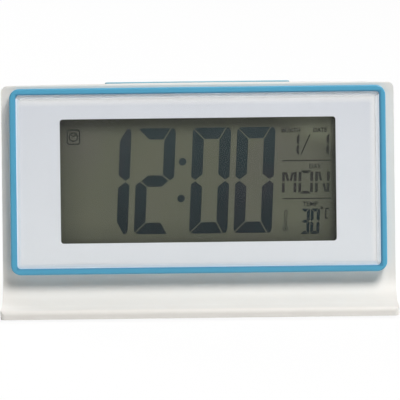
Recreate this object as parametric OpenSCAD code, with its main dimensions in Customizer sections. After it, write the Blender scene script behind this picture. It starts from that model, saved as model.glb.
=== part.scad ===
// Digital alarm clock for a desk: a white housing that leans back over a swept foot, with a blue
// frame round a lens panel, a snooze bar on top, and the keys and the battery bay at the rear.
// Units are millimetres. +X is right as seen from the front, the front faces -Y and +Z is up.
// The origin is under the middle of the clock, on the surface that it stands on.

/* [Housing] */
// Width of the housing and of its foot
housing_w = 146; // [130:1:175]
// Length of the front face, from the underside to the low ends of the top edge
face_len = 83.5; // [78:0.5:96]
// Lean of the front face, in degrees from upright
face_tilt = 10; // [6:0.5:13]
// Rise of the top edge in its middle
top_crown = 0.6; // [0.2:0.1:1.5]
// Radius of the two top corners, seen from the front
top_corner_r = 2.5; // [1.5:0.5:6]
// Radius along the front edge of the top
top_edge_r = 1.2; // [0.5:0.1:2]
// Radius along the rear edges
rear_edge_r = 2; // [1:0.25:2.2]
// Wall thickness of the housing and its floor
wall = 2; // [1.6:0.1:2.6]

/* [Foot] */
// Distance from the toe to the line where the front face would meet the underside
foot_reach = 16.25; // [13:0.25:24]
// Height of the toe
toe_h = 3.3; // [3:0.1:5]
// Radius along the top edge of the toe and at its ends
toe_r = 1.8; // [0.8:0.1:2.4]
// Rise of the foot from the toe to the sweep, in degrees
toe_slope = 1; // [0:0.25:4]
// Height of the sweep along the front face
sweep_rise = 9.5; // [6:0.25:13]
// Run of the sweep along the foot
sweep_run = 9; // [5:0.25:10.5]
// Radius of each rubber pad
pad_r = 4; // [3:0.25:5]
// Thickness of each rubber pad
pad_t = 1.8; // [1.2:0.1:3]
// Depth of the pocket that holds a pad
pad_sink = 0.8; // [0.4:0.1:1]

/* [Frame and lens] */
// White margin beside the frame
frame_side_gap = 3.3; // [2:0.1:8]
// White margin above the frame, at the low ends of the top edge
frame_top_gap = 1.25; // [1:0.05:4]
// Height of the frame's lower edge along the front face
frame_low = 13.2; // [12:0.2:20]
// How far the frame stands out of the housing
frame_proud = 4.5; // [4:0.1:7]
// Width of the frame's rim
frame_rim = 2.35; // [1.8:0.05:3.4]
// Outer radius of the frame's corners
frame_corner_r = 3.7; // [3:0.1:8]
// Rounding along the rim's outer front edge
frame_edge_r = 0.65; // [0.3:0.05:1]
// Rounding along the rim's inner front edge
frame_lip_r = 0.45; // [0.2:0.05:0.7]
// Depth of the lens face below the rim
lens_sink = 0.6; // [0.4:0.05:1.2]
// Thickness of the lens
lens_t = 1.1; // [0.9:0.1:1.6]
// Width of the bevel round the lens
bevel_w = 1.6; // [0.6:0.1:3]
// Depth of that bevel
bevel_d = 0.35; // [0.2:0.05:0.6]
// Thickness of the white printed film behind the lens
print_t = 0.3; // [0.15:0.05:0.4]
// White border beside the display window
border_side = 16.1; // [12:0.1:24]
// White border above and below the display window
border_top = 9; // [7:0.1:12]
// Corner radius of the display window
window_r = 1.1; // [0.3:0.1:3]

/* [Display] */
// Glass hidden beyond each side of the window
glass_edge = 4; // [3.75:0.25:5]
// Thickness of one pane of glass
glass_t = 1.1; // [0.7:0.05:1.3]
// Thickness of one polariser
polariser_t = 0.2; // [0.1:0.05:0.3]
// Strip of bare contacts along the top of the front pane
contact_h = 3.5; // [3:0.1:3.6]
// Thickness of the carrier's flange between the housing's wall and the main board
carrier_t = 2.6; // [2.4:0.1:4]
// Thickness of each circuit board
board_t = 1.2; // [0.8:0.1:1.6]
// Radius of the screw posts behind the frame
post_r = 2; // [1.8:0.1:2.6]

/* [Snooze bar] */
// Length of the snooze bar
snooze_w = 69; // [50:1:90]
// Depth of the snooze bar from front to back
snooze_d = 10; // [7:0.5:11]
// How far the bar stands out of the top
snooze_proud = 0.6; // [0.6:0.1:2.5]
// Travel of the bar
snooze_travel = 0.5; // [0.3:0.1:0.5]

/* [Rear cover] */
// Thickness of the rear cover
cover_t = 2.2; // [2:0.1:3]
// Depth of the lip that locates the cover
lip_d = 2.5; // [1.5:0.25:4]
// Radius of the bosses that take the cover's screws
boss_r = 3; // [2.6:0.1:3.6]
// Radius of a screw's shank
screw_r = 1.25; // [1:0.05:1.5]
// Length of the cover's screws below their heads
screw_len = 11; // [8:0.5:14]

/* [Batteries] */
// Radius of one cell
cell_r = 5.25; // [5:0.05:7.25]
// Length of one cell with its nub
cell_len = 44.5; // [40:0.5:51]
// Length of a battery spring in use
spring_len = 6; // [4:0.5:8]
// Thickness of the bay's walls
bay_wall = 2.8; // [2.6:0.1:4]
// Thickness of the battery door
door_t = 1.8; // [1.4:0.1:1.9]
// Room between the battery bay and the main board
bay_room = 4.15; // [3.5:0.05:8]

/* [Keys and switch] */
// Radius of a rear key
key_r = 3; // [2.4:0.1:4]
// How far a rear key stands out
key_proud = 1.2; // [0.9:0.1:2.5]
// Travel of a rear key
key_travel = 0.8; // [0.4:0.1:0.9]
// Distance from one key to the next
key_pitch = 15; // [13:0.5:17]
// Travel of the slide switch
slide_travel = 2.5; // [1.5:0.25:4]

/* [Hidden] */
$fn = 48;

// Overrun of every cut, and the clearances between pieces
overrun = 1;
fit = 0.15;
running_gap = 0.3;
touch_gap = 0.05;

// Number of straight steps along each curved stretch of an outline
sweep_steps = 24;
arc_steps = 8;
crown_steps = 12;

// Places of the side profile: y runs back from the toe, z up from the underside
face_foot = [foot_reach, 0];
up_dir = [sin(face_tilt), cos(face_tilt)];
back_dir = [cos(face_tilt), -sin(face_tilt)];
top_len = face_len + top_crown;
underside_z = pad_t - pad_sink;
form_span = 2 * face_len;

// The corner that the sweep rounds off, and the sweep's two ends
corner_u = (toe_h + foot_reach * tan(toe_slope)) / (cos(face_tilt) - sin(face_tilt) * tan(toe_slope));
sweep_corner = face_point(corner_u, 0);
sweep_up = sweep_rise * up_dir;
sweep_out = -sweep_run * [cos(toe_slope), sin(toe_slope)];

// The frame, the lens and the window, all centred on one line
frame_w = housing_w - 2 * frame_side_gap;
frame_h = face_len - frame_top_gap - frame_low;
frame_mid = frame_low + frame_h / 2;
frame_in_w = frame_w - 2 * frame_rim;
frame_in_h = frame_h - 2 * frame_rim;
frame_in_r = frame_corner_r - frame_rim;
lens_w = frame_in_w - 2 * fit;
lens_h = frame_in_h - 2 * fit;
lens_front = frame_proud - lens_sink;
lens_back = lens_front - lens_t;
ledge_t = lens_back - print_t;
window_w = lens_w - 2 * border_side;
window_h = lens_h - 2 * border_top;

// The display behind the window, from the front pane back to the main board
lcd_w = window_w + 2 * glass_edge;
lcd_h = window_h + 2 * glass_edge;
// The rear pane and what lies behind it leave the front pane's contacts bare
rear_h = lcd_h - contact_h;
carrier_web = 0.8;
carrier_rim = 1.2;
lcd_front = ledge_t - running_gap - carrier_web;
front_pane_z = lcd_front - polariser_t;
rear_pane_z = front_pane_z - glass_t;
guide_z = rear_pane_z - glass_t - polariser_t;
// The light guide fills the room between the rear polariser and the main board
board_z = -wall - carrier_t;
guide_t = guide_z - board_z;
board_back = board_z - board_t;
led_room = 2.5;
film_edge = 1.5;

// The carrier's collar holds the panes and stands in the frame's spigot, which fills the opening
collar_w = lcd_w + 2 * (fit + carrier_rim);
collar_h = lcd_h + 2 * (fit + carrier_rim);
spigot_t = 1.4;
spigot_w = collar_w + 2 * (spigot_t + running_gap);
spigot_h = collar_h + 2 * (spigot_t + running_gap);
opening_w = spigot_w + 2 * fit;
opening_h = spigot_h + 2 * fit;
opening_r = 2;
post_gap = 1.1;
post_x = opening_w / 2 + post_r + post_gap;
post_v = window_h / 2;
post_seat = 1.6;
post_end = board_z + post_seat;
carrier_w = 2 * (post_x + post_r + fit + carrier_rim);
carrier_h = collar_h + 2 * carrier_rim;
board_inset = 0.4;
small_screw_r = 1;
small_head_r = 1.9;
small_head_h = 1.2;
small_screw_len = 4.5;

// The battery bay, with y measured forward from the clock's back
cell_gap = 0.4;
cell_pitch = 2 * cell_r + 2 * cell_gap - touch_gap;
cells = 3;
contact_t = 0.5;
contact_w = 7.8;
nub_r = 1.9;
nub_h = 0.8;
bay_len = cell_len + spring_len + 2 * contact_t + 2 * touch_gap;
bay_h = cells * cell_pitch;
bay_low = underside_z + wall + bay_wall + cell_gap;
bay_high = bay_low + bay_h;
cell_depth = door_t + cell_gap + cell_r;
bay_depth = cell_depth + cell_r + cell_gap + carrier_rim;
door_lap = 1.5;
door_w = bay_len + 2 * door_lap;
door_low = bay_low - door_lap;
door_h = bay_h + 2 * door_lap;
door_r = 2;
door_pivot = door_t / 2;
tab_w = 6;
tab_t = 1.1;
tab_drop = 0.9;
tab_x = door_w / 4;
tab_gap = 0.2;
tab_depth = cover_t + tab_gap + tab_t;
latch_w = 9;
latch_t = 1.1;
latch_d = 4;
grip_count = 4;
grip_pitch = 1.8;
grip_w = 14;
grip_deep = 0.5;

// The depth follows from the display in front, the bay at the rear and the room between them
bay_top = bay_high + bay_wall;
back_y = board_back_at(bay_top - underside_z) + bay_room + bay_depth;
part_y = back_y - cover_t;
overall_depth = back_y + key_proud;
toe_y = -overall_depth / 2;
top_depth = (back_y - foot_reach - face_len * up_dir.x) / back_dir.x;

// Heights of the snooze bar, its flange and the switch under it
bar_mid = -top_depth / 2;
bar_corner_r = 1.5;
bar_edge_r = 0.5;
flange_out = 1;
flange_t = 1;
flange_half = snooze_w / 2 + flange_out;
flange_top = top_at(flange_half) - wall;
bar_top = top_len + snooze_proud;
switch_w = 6;
switch_t = 3.5;
switch_h = 4;
plunger_r = 1.6;
plunger_h = 0.7;
snooze_switch_top = frame_mid + carrier_h / 2 - board_inset;
stem_r = 2;
stem_mid = board_back - switch_t / 2;
stem_low = snooze_switch_top + plunger_h + snooze_travel + touch_gap;

// The key board, with y measured forward from the clock's back
key_bore_gap = 0.2;
key_flange_out = 1.1;
key_flange_r = key_r + key_flange_out;
key_flange_t = 1.1;
key_edge_r = 0.5;
key_row_gap = 5;
key_board_h = switch_w + 2 * small_head_r;
key_z = bay_top + key_row_gap + key_board_h / 2;
key_plunger_end = cover_t + key_flange_t + key_travel + touch_gap;
key_body_end = key_plunger_end + plunger_h;
key_board_front = key_body_end + switch_t;
key_first_x = -bay_len / 2 - bay_wall - key_pitch;
key_xs = [for (i = [0:3]) key_first_x + i * key_pitch];
slide_x = key_xs[3] + 1.25 * key_pitch;
slide_slot_h = 3.4;
knob_w = 4;
knob_flange = 1.2;
lever_w = 1.6;
slide_body_w = 9;
slide_body_h = 4.4;
key_board_x0 = key_xs[0] - key_pitch / 2;
key_board_x1 = slide_x + key_pitch / 1.5;
key_post_r = 2.4;
key_post_xs = [key_xs[0] + key_pitch / 2, key_xs[3] + key_pitch / 2];
head_h = 1.2;
head_r = 2.5;
boss_merge = 0.4;
boss_x = housing_w / 2 - wall - boss_r + boss_merge;
boss_low_z = underside_z + wall + boss_r + 2 * running_gap;
boss_high_z = underside_z + (face_len - wall - boss_r) * cos(face_tilt) - top_depth * sin(face_tilt);
lip_t = 1.2;
sound_r = 0.8;
sound_pitch = 3;
buzzer_r = 6;
buzzer_h = 5.5;
buzzer_x = carrier_w / 2 - board_inset - 2 * buzzer_r;
buzzer_v = (key_z - underside_z - (board_back - buzzer_h) * sin(face_tilt)) / cos(face_tilt) - frame_mid;
pad_inset = 11;
pad_toe_gap = 6.5;
pad_rear_gap = 2;
pad_x = housing_w / 2 - pad_inset - pad_r;
pad_front_y = pad_toe_gap + pad_r;
pad_rear_y = part_y - pad_rear_gap - pad_r;

// Gussets between the floor and the front wall, and the pockets that core the toe from below
rib_t = 1.2;
gusset_pitch = 24;
gusset_run = 8;
core_count = 6;
core_back = (sweep_corner + sweep_out).x;
core_deep = toe_h - wall;
core_span = 2 * (pad_x - pad_r - wall);
core_pitch = (core_span + rib_t) / core_count;

// The cells' springs and the leads to the main board
cell_start = -bay_len / 2 + contact_t + touch_gap;
coil_turns = 3;
coil_rings = 24;
coil_sides = 6;
coil_wire_r = 0.4;
coil_small_r = 2;
coil_large_r = 3.2;
coil_len = spring_len - 2 * coil_wire_r - 2 * touch_gap;
lead_r = 0.6;
lead_bend = 2;
lead_out = bay_len / 2 + bay_wall + lead_bend;
lead_z = bay_low + cell_pitch / 2;
lead_high = lead_z + key_pitch;
lead_y = back_y - cell_depth;
lead_end = board_back_at(lead_high - underside_z) + lead_r / 2;

// A place in the side profile, u up along the front face and d square to it towards the back
function face_point(u, d) = face_foot + u * up_dir + d * back_dir;

// Height of the top edge at x, measured along the front face
function top_at(x) = face_len + top_crown * (1 - pow(2 * x / housing_w, 2));

// y of the main board's rear side at a height above the underside
function board_back_at(z) = foot_reach + z * tan(face_tilt) - board_back / cos(face_tilt);

function arc(centre, r, from, to) =
    [for (i = [0:arc_steps]) centre + r * [cos(from + (to - from) * i / arc_steps),
                                           sin(from + (to - from) * i / arc_steps)]];

// The concave sweep from the foot up to the front face, moved into the wall by inset
function sweep(inset) =
    [for (i = [0:sweep_steps])
        let (s = 90 - 90 * i / sweep_steps,
             along = sweep_up * cos(s) - sweep_out * sin(s))
        sweep_corner + sweep_up * (1 - sin(s)) + sweep_out * (1 - cos(s))
            + inset * [along.y, -along.x] / norm(along)];

// Side profile of the whole clock without its pads
function side_points() =
    let (toe_centre = [toe_r, toe_h + toe_r * tan(toe_slope) - toe_r / cos(toe_slope)],
         rear_d = (back_y - rear_edge_r - face_foot.x - (top_len - rear_edge_r) * up_dir.x) / back_dir.x)
    concat([[0, 0]],
           arc(toe_centre, toe_r, 180, 90 + toe_slope),
           sweep(0),
           arc(face_point(top_len - top_edge_r, top_edge_r), top_edge_r, 180 - face_tilt, 90 - face_tilt),
           arc(face_point(top_len - rear_edge_r, rear_d), rear_edge_r, 90 - face_tilt, 0),
           arc([back_y - rear_edge_r, rear_edge_r], rear_edge_r, 0, -90));

// Front outline with its crowned top edge
function front_points(inset) =
    let (half = housing_w / 2 - inset,
         r = max(top_corner_r - inset, fit),
         shoulder = half - r)
    concat([[-half, -foot_reach], [half, -foot_reach]],
           arc([shoulder, top_at(shoulder) - inset - r], r, 0, 90),
           [for (i = [1:crown_steps - 1])
               let (x = shoulder * (1 - 2 * i / crown_steps)) [x, top_at(x) - inset]],
           arc([-shoulder, top_at(shoulder) - inset - r], r, 90, 180));

// Plan outline with rounded ends
function plan_points() =
    let (half = housing_w / 2)
    concat(arc([-half + toe_r, toe_r], toe_r, 180, 270),
           arc([half - toe_r, toe_r], toe_r, 270, 360),
           arc([half - rear_edge_r, back_y - rear_edge_r], rear_edge_r, 0, 90),
           arc([-half + rear_edge_r, back_y - rear_edge_r], rear_edge_r, 90, 180));

module side_space() translate([0, toe_y, underside_z]) rotate([90, 0, 90]) children();

module face_space()
    translate([0, toe_y + foot_reach, underside_z]) rotate([90 - face_tilt, 0, 0]) children();

module panel_space() face_space() translate([0, frame_mid, 0]) children();

module rear_space() translate([0, toe_y + back_y, 0]) rotate([90, 0, 0]) children();

module mirrored() {
    children();
    mirror([1, 0, 0]) children();
}

module at_corners(x, y)
    for (sx = [-1, 1], sy = [-1, 1]) translate([sx * x, sy * y, 0]) children();

// Flat rectangle with round corners, centred
module round_rect(w, h, r) {
    square([w - 2 * r, h], center = true);
    square([w, h - 2 * r], center = true);
    at_corners(w / 2 - r, h / 2 - r) circle(r);
}

// Plate between two heights, with round corners
module plate(w, h, r, low, high) translate([0, 0, low]) linear_extrude(high - low) round_rect(w, h, r);

module block(w, h, low, high)
    translate([-w / 2, -h / 2, low]) cube([w, h, high - low]);

module pillar(r, low, high) translate([0, 0, low]) cylinder(r = r, h = high - low);

// Carries a section round a rectangle; its x is measured from the centre of each corner
module rim_sweep(w, h, r) {
    straight_w = w - 2 * r;
    straight_h = h - 2 * r;
    for (side = [0, 1]) rotate(180 * side) {
        translate([straight_w / 2, straight_h / 2, 0]) rotate_extrude(angle = 90) children();
        translate([-straight_w / 2, straight_h / 2, 0]) rotate(90) rotate_extrude(angle = 90) children();
        translate([straight_w / 2, straight_h / 2, 0]) rotate([90, 0, 0])
            linear_extrude(straight_h) children();
        translate([-straight_w / 2, straight_h / 2, 0]) rotate([90, 0, 90])
            linear_extrude(straight_w) children();
    }
}

// Trims what it holds to the front outline, moved in by inset
module within_front(inset) intersection() {
    face_space() translate([0, 0, -form_span / 2]) linear_extrude(form_span) polygon(front_points(inset));
    children();
}

module along_width() side_space() linear_extrude(housing_w + 2 * overrun, center = true) children();

// The outer form of the whole clock
module clock_form() within_front(0) intersection() {
    translate([0, toe_y, underside_z - overrun]) linear_extrude(form_span) polygon(plan_points());
    along_width() polygon(side_points());
}

// Room behind the front wall, open at the back
module main_room_2d() {
    low_u = (wall + wall * sin(face_tilt)) / cos(face_tilt);
    top_back = face_point(top_len - wall, top_depth + cover_t);
    polygon([face_point(low_u, wall), face_point(top_len - wall, wall), top_back, [top_back.x, wall]]);
}

// Room inside the foot, under the sweep
module foot_room_2d() intersection() {
    polygon(concat(sweep(wall), [face_point(corner_u + sweep_rise, wall + overrun),
                                 [foot_reach + wall + overrun, 0]]));
    translate(face_foot) rotate(-face_tilt) translate([-2 * foot_reach, -foot_reach])
        square([3 * foot_reach, foot_reach + frame_low - wall]);
    translate([0, wall]) square([back_y, face_len]);
}

// Web that ties the front wall to the floor, ending inside both of them
module gusset_2d() polygon(concat(sweep(wall / 2), [[foot_reach + gusset_run, wall / 2],
                                                    [core_back, wall / 2]]));

module housing_gussets() for (i = [-2:2]) translate([i * gusset_pitch, 0, 0])
    side_space() linear_extrude(rib_t, center = true) gusset_2d();

// Pockets under the toe, so that its wall stays even, with ribs left between them
module toe_cores() for (i = [0:core_count - 1])
    translate([-core_span / 2 + i * core_pitch, toe_y + wall, underside_z - overrun])
        cube([core_pitch - rib_t, core_back - wall, core_deep + overrun]);

module housing_room() within_front(wall) along_width() {
    main_room_2d();
    foot_room_2d();
}

// Everything in front of the parting plane
module ahead_of_parting()
    translate([-housing_w, toe_y - overrun, 0]) cube([2 * housing_w, part_y + overrun, form_span]);

module at_bosses()
    for (z = [boss_low_z, boss_high_z]) mirrored() translate([boss_x, 0, z]) children();

// Boss from the rear cover forward into the front wall
module housing_boss(z) {
    front_y = foot_reach + (z - underside_z) * tan(face_tilt) + wall / 2;
    translate([0, toe_y + front_y, 0]) rotate([-90, 0, 0]) cylinder(r = boss_r, h = part_y - front_y);
}

module front_housing() color("white") difference() {
    union() {
        difference() {
            intersection() {
                clock_form();
                ahead_of_parting();
            }
            housing_room();
        }
        for (z = [boss_low_z, boss_high_z]) mirrored() translate([boss_x, 0, z]) housing_boss(z);
        housing_gussets();
    }
    toe_cores();
    // Pilot holes for the cover's screws
    at_bosses() translate([0, toe_y + part_y + overrun, 0]) rotate([90, 0, 0])
        cylinder(r = screw_r + touch_gap, h = screw_len + overrun);
    // Flat seat of the frame, and the opening for its spigot and posts
    panel_space() {
        plate(frame_w + 2 * fit, frame_h + 2 * fit, frame_corner_r + fit, 0, form_span / 4);
        plate(opening_w, opening_h, opening_r, -wall - overrun, overrun);
        at_corners(post_x, post_v) pillar(post_r + fit, -wall - overrun, overrun);
    }
    // Slot for the snooze bar
    face_space() translate([0, 0, bar_mid]) rotate([-90, 0, 0])
        plate(snooze_w + 2 * running_gap, snooze_d + 2 * running_gap, bar_corner_r + running_gap,
              face_len - 2 * wall, form_span);
    at_pads() pillar(pad_r + fit, 0, pad_t + touch_gap);
}

module at_pads() for (y = [pad_front_y, pad_rear_y]) mirrored() translate([pad_x, toe_y + y, 0]) children();

module rubber_feet() color("dimgray") at_pads() pillar(pad_r, 0, pad_t);

// Section of the frame's rim, with both of its front edges rounded
module frame_section() {
    inner = frame_corner_r - frame_rim;
    lip_x = inner + frame_lip_r;
    edge_x = frame_corner_r - frame_edge_r;
    translate([inner, 0]) square([frame_rim, frame_proud - max(frame_lip_r, frame_edge_r)]);
    translate([inner, 0]) square([frame_lip_r, frame_proud - frame_lip_r]);
    translate([lip_x, 0]) square([edge_x - lip_x, frame_proud]);
    translate([edge_x, 0]) square([frame_edge_r, frame_proud - frame_edge_r]);
    translate([lip_x, frame_proud - frame_lip_r]) circle(frame_lip_r);
    translate([edge_x, frame_proud - frame_edge_r]) circle(frame_edge_r);
}

module bezel_frame() color("steelblue") panel_space() difference() {
    union() {
        rim_sweep(frame_w, frame_h, frame_corner_r) frame_section();
        // Ledge behind the lens
        plate(frame_in_w + frame_rim, frame_in_h + frame_rim, frame_corner_r - frame_rim / 2, 0, ledge_t);
        plate(spigot_w, spigot_h, opening_r - fit, -wall, ledge_t / 2);
        at_corners(post_x, post_v) pillar(post_r, post_end, ledge_t / 2);
    }
    plate(collar_w + 2 * running_gap, collar_h + 2 * running_gap, opening_r - fit,
          -wall - overrun, frame_proud);
    at_corners(post_x, post_v) pillar(small_screw_r, post_end - overrun, -wall / 2);
}

module display_lens() color("aliceblue", 0.4) panel_space() difference() {
    plate(lens_w, lens_h, frame_in_r, lens_back, lens_front);
    for (side = [0, 1]) rotate(180 * side) {
        translate([0, lens_h / 2, lens_front]) edge_bevel(lens_w);
        translate([lens_w / 2, 0, lens_front]) rotate(-90) edge_bevel(lens_h);
    }
}

// Wedge that bevels one edge, with the edge along x
module edge_bevel(len) rotate([90, 0, 90]) linear_extrude(len + 2 * overrun, center = true)
    polygon([[-bevel_w, 0], [bevel_w, -2 * bevel_d], [bevel_w, bevel_d], [-bevel_w, bevel_d]]);

module lens_print() color("white") panel_space() difference() {
    plate(lens_w, lens_h, frame_in_r, ledge_t, lens_back);
    plate(window_w, window_h, window_r, ledge_t - overrun, lens_back + overrun);
}

// The display's layers
module pane(w, h, front, t) translate([0, h / 2 - lcd_h / 2, 0]) block(w, h, front - t, front);

module front_polariser() color("darkolivegreen") panel_space()
    pane(lcd_w - 2 * film_edge, lcd_h, lcd_front, polariser_t);

module front_glass() color("lightcyan") panel_space() pane(lcd_w, lcd_h, front_pane_z, glass_t);

module rear_glass() color("lightcyan") panel_space() pane(lcd_w, rear_h, rear_pane_z, glass_t);

module rear_polariser() color("darkolivegreen") panel_space()
    pane(lcd_w - 2 * film_edge, rear_h, guide_z + polariser_t, polariser_t);

module light_guide() color("white") panel_space() pane(lcd_w - 2 * led_room, rear_h, guide_z, guide_t);

module backlight_leds() color("lightyellow") panel_space()
    at_corners(lcd_w / 2 - led_room / 2, lcd_h / 4)
        block(led_room - 4 * fit, led_room, board_z, guide_z - guide_t / 4);

// Way for the cover's bosses past the carrier and the board
module boss_ways() at_bosses() rear_space() pillar(boss_r + running_gap, 0, overall_depth);

module display_carrier() color("whitesmoke") difference() {
    panel_space() difference() {
        union() {
            plate(carrier_w, carrier_h, carrier_rim, board_z, -wall);
            plate(collar_w, collar_h, opening_r, -wall - carrier_web, ledge_t - running_gap);
        }
        block(lcd_w + 2 * fit, lcd_h + 2 * fit, board_z - overrun, lcd_front);
        plate(window_w + film_edge, window_h + film_edge, window_r, lcd_front - overrun, frame_proud);
        at_corners(post_x, post_v) {
            pillar(post_r + fit, post_end - fit, overrun);
            pillar(small_screw_r + fit, board_z - overrun, overrun);
        }
    }
    boss_ways();
}

module contact_strip() color("hotpink") panel_space()
    translate([0, lcd_h / 2 - contact_h / 2, 0])
        block(window_w, contact_h - 6 * fit, board_z, front_pane_z - glass_t);

module main_board() color("seagreen") difference() {
    panel_space() difference() {
        block(carrier_w - 2 * board_inset, carrier_h - 2 * board_inset, board_back, board_z);
        at_corners(post_x, post_v) pillar(small_screw_r + fit, board_back - overrun, board_z + overrun);
    }
    boss_ways();
}

// Screw with its head below the given height and its shank above it
module small_screw(seat) {
    pillar(small_head_r, seat - small_head_h, seat);
    pillar(small_screw_r - touch_gap, seat - small_head_h / 2, seat + small_screw_len);
}

module carrier_screws() color("silver") panel_space() at_corners(post_x, post_v) small_screw(board_back);

// Parts soldered to the rear side of the main board
module clock_chip() color("black") panel_space() {
    blob_r = 7;
    blob_h = 1.5;
    ball_r = (blob_r * blob_r + blob_h * blob_h) / (2 * blob_h);
    translate([-key_pitch, key_pitch / 2, 0]) intersection() {
        translate([0, 0, board_back - blob_h + ball_r]) sphere(ball_r, $fn = 96);
        pillar(ball_r, board_back - 2 * blob_h, board_back);
    }
}

module quartz_crystal() color("silver") panel_space() {
    can_r = 1;
    can_len = 6;
    translate([-key_pitch / 3, key_pitch / 2, board_back - can_r]) rotate([0, 90, 0])
        cylinder(r = can_r, h = can_len);
}

module piezo_buzzer() color("black") panel_space() translate([buzzer_x, buzzer_v, 0]) difference() {
    pillar(buzzer_r, board_back - buzzer_h, board_back);
    pillar(sound_r, board_back - buzzer_h - overrun, board_back - buzzer_h + overrun);
}

module temperature_sensor() color("darkgoldenrod") panel_space() {
    bead_r = 1.2;
    bead_h = 2.6;
    translate([-post_x + key_pitch / 2, -post_v, 0]) {
        pillar(bead_r, board_back - bead_h, board_back);
        translate([0, 0, board_back - bead_h]) sphere(bead_r);
    }
}

module snooze_switch() color("dimgray") face_space() {
    translate([0, snooze_switch_top - switch_h / 2, 0])
        block(switch_w, switch_h, board_back - switch_t, board_back);
    translate([0, 0, stem_mid]) rotate([-90, 0, 0])
        pillar(plunger_r, snooze_switch_top, snooze_switch_top + plunger_h);
}

// The snooze bar, drawn with z up along the front face
module bar_section() {
    translate([0, flange_top]) square([bar_corner_r, bar_top - bar_edge_r - flange_top]);
    translate([0, flange_top]) square([bar_corner_r - bar_edge_r, bar_top - flange_top]);
    translate([bar_corner_r - bar_edge_r, bar_top - bar_edge_r]) circle(bar_edge_r);
}

module snooze_bar() color("steelblue") face_space() translate([0, 0, bar_mid]) rotate([-90, 0, 0]) {
    inner_w = snooze_w - 2 * bar_corner_r;
    inner_d = snooze_d - 2 * bar_corner_r;
    rim_sweep(snooze_w, snooze_d, bar_corner_r) bar_section();
    block(inner_w, inner_d, bar_top - wall, bar_top);
    difference() {
        plate(2 * flange_half, snooze_d + 2 * flange_out, bar_corner_r, flange_top - flange_t, flange_top);
        block(inner_w, inner_d, flange_top - flange_t - overrun, flange_top + overrun);
    }
    translate([0, bar_mid - stem_mid, 0]) pillar(stem_r, stem_low, bar_top - wall / 2);
}

// The rear cover, seen with z forward from the clock's back
module at_key(i) rear_space() translate([key_xs[i], key_z, 0]) children();

module cover_plate() difference() {
    clock_form();
    ahead_of_parting();
}

module cover_lip() difference() {
    intersection() {
        within_front(wall + fit) lip_band(fit);
        translate([-housing_w, toe_y + part_y - lip_d, 0])
            cube([2 * housing_w, lip_d + cover_t / 2, form_span]);
    }
    within_front(wall + fit + lip_t) lip_band(fit + lip_t);
    boss_ways();
    // Gap in the lip for the snooze bar's flange
    face_space() translate([0, 0, bar_mid]) rotate([-90, 0, 0])
        block(2 * flange_half + 2 * running_gap, form_span, frame_mid, form_span);
}

// Band between the floor and the top wall, moved in by inset
module lip_band(inset) along_width()
    polygon([[0, wall + inset], face_point(top_len - wall - inset, 0),
             face_point(top_len - wall - inset, form_span), [form_span, wall + inset]]);

module bay_box(w, low, h, front, back) translate([-w / 2, low, front]) cube([w, h, back - front]);

module battery_saddles()
    for (i = [0:cells - 1]) translate([-bay_len / 2, bay_low + (i + 0.5) * cell_pitch, cell_depth])
        rotate([0, 90, 0]) cylinder(r = cell_r + cell_gap - touch_gap, h = bay_len);

module rear_cover() color("whitesmoke") difference() {
    union() {
        cover_plate();
        cover_lip();
        rear_space() bay_box(bay_len + 2 * bay_wall, bay_low - bay_wall, bay_h + 2 * bay_wall,
                             cover_t / 2, bay_depth);
        for (x = key_post_xs) rear_space() translate([x, key_z, 0])
            pillar(key_post_r, cover_t / 2, key_board_front);
    }
    rear_space() {
        // Seat of the door, with room for its tabs and latch
        bay_box(door_w + 2 * running_gap, door_low - running_gap, door_h + 2 * running_gap,
                -overrun, door_t);
        for (side = [-1, 1]) translate([side * tab_x, 0, 0]) {
            bay_box(tab_w + 2 * running_gap, door_low - tab_drop - running_gap, bay_wall + tab_drop,
                    cover_t, tab_depth + tab_drop);
            bay_box(tab_w + 2 * running_gap, door_low, door_lap + overrun, door_t - overrun, tab_depth);
        }
        bay_box(latch_w + 2 * running_gap, bay_high - cell_gap, door_lap + 2 * running_gap + cell_gap,
                door_t - touch_gap, door_t + latch_d + overrun);
        // The bay and its three saddles
        bay_box(bay_len, bay_low, bay_h, door_t - overrun, cell_depth);
        battery_saddles();
        // Holes for the keys, the slide switch, the sound and the screws
        for (x = key_xs) translate([x, key_z, 0]) pillar(key_r + key_bore_gap, -overrun, cover_t + overrun);
        translate([slide_x + slide_travel / 2, key_z, 0])
            plate(knob_w + slide_travel + 2 * running_gap, slide_slot_h, fit, -overrun, cover_t + overrun);
        for (x = key_post_xs) translate([x, key_z, 0])
            pillar(small_screw_r, cover_t, key_board_front + overrun);
        translate([buzzer_x, key_z, 0]) sound_holes();
    }
    at_bosses() rear_space() {
        pillar(screw_r + fit, -overrun, cover_t + overrun);
        pillar(head_r + fit, -overrun, head_h);
    }
    // Ways for the battery leads
    at_leads() rotate([0, 90, 0]) cylinder(r = lead_r + running_gap, h = 2 * bay_wall, center = true);
}

// One hole with a ring of six round it
module sound_holes() {
    pillar(sound_r, -overrun, cover_t + overrun);
    for (a = [0:60:300]) rotate(a) translate([sound_pitch, 0, 0])
        pillar(sound_r, -overrun, cover_t + overrun);
}

module cover_screws() color("silver") at_bosses() rear_space() {
    pillar(head_r, 0, head_h);
    pillar(screw_r, head_h / 2, screw_len);
}

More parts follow.
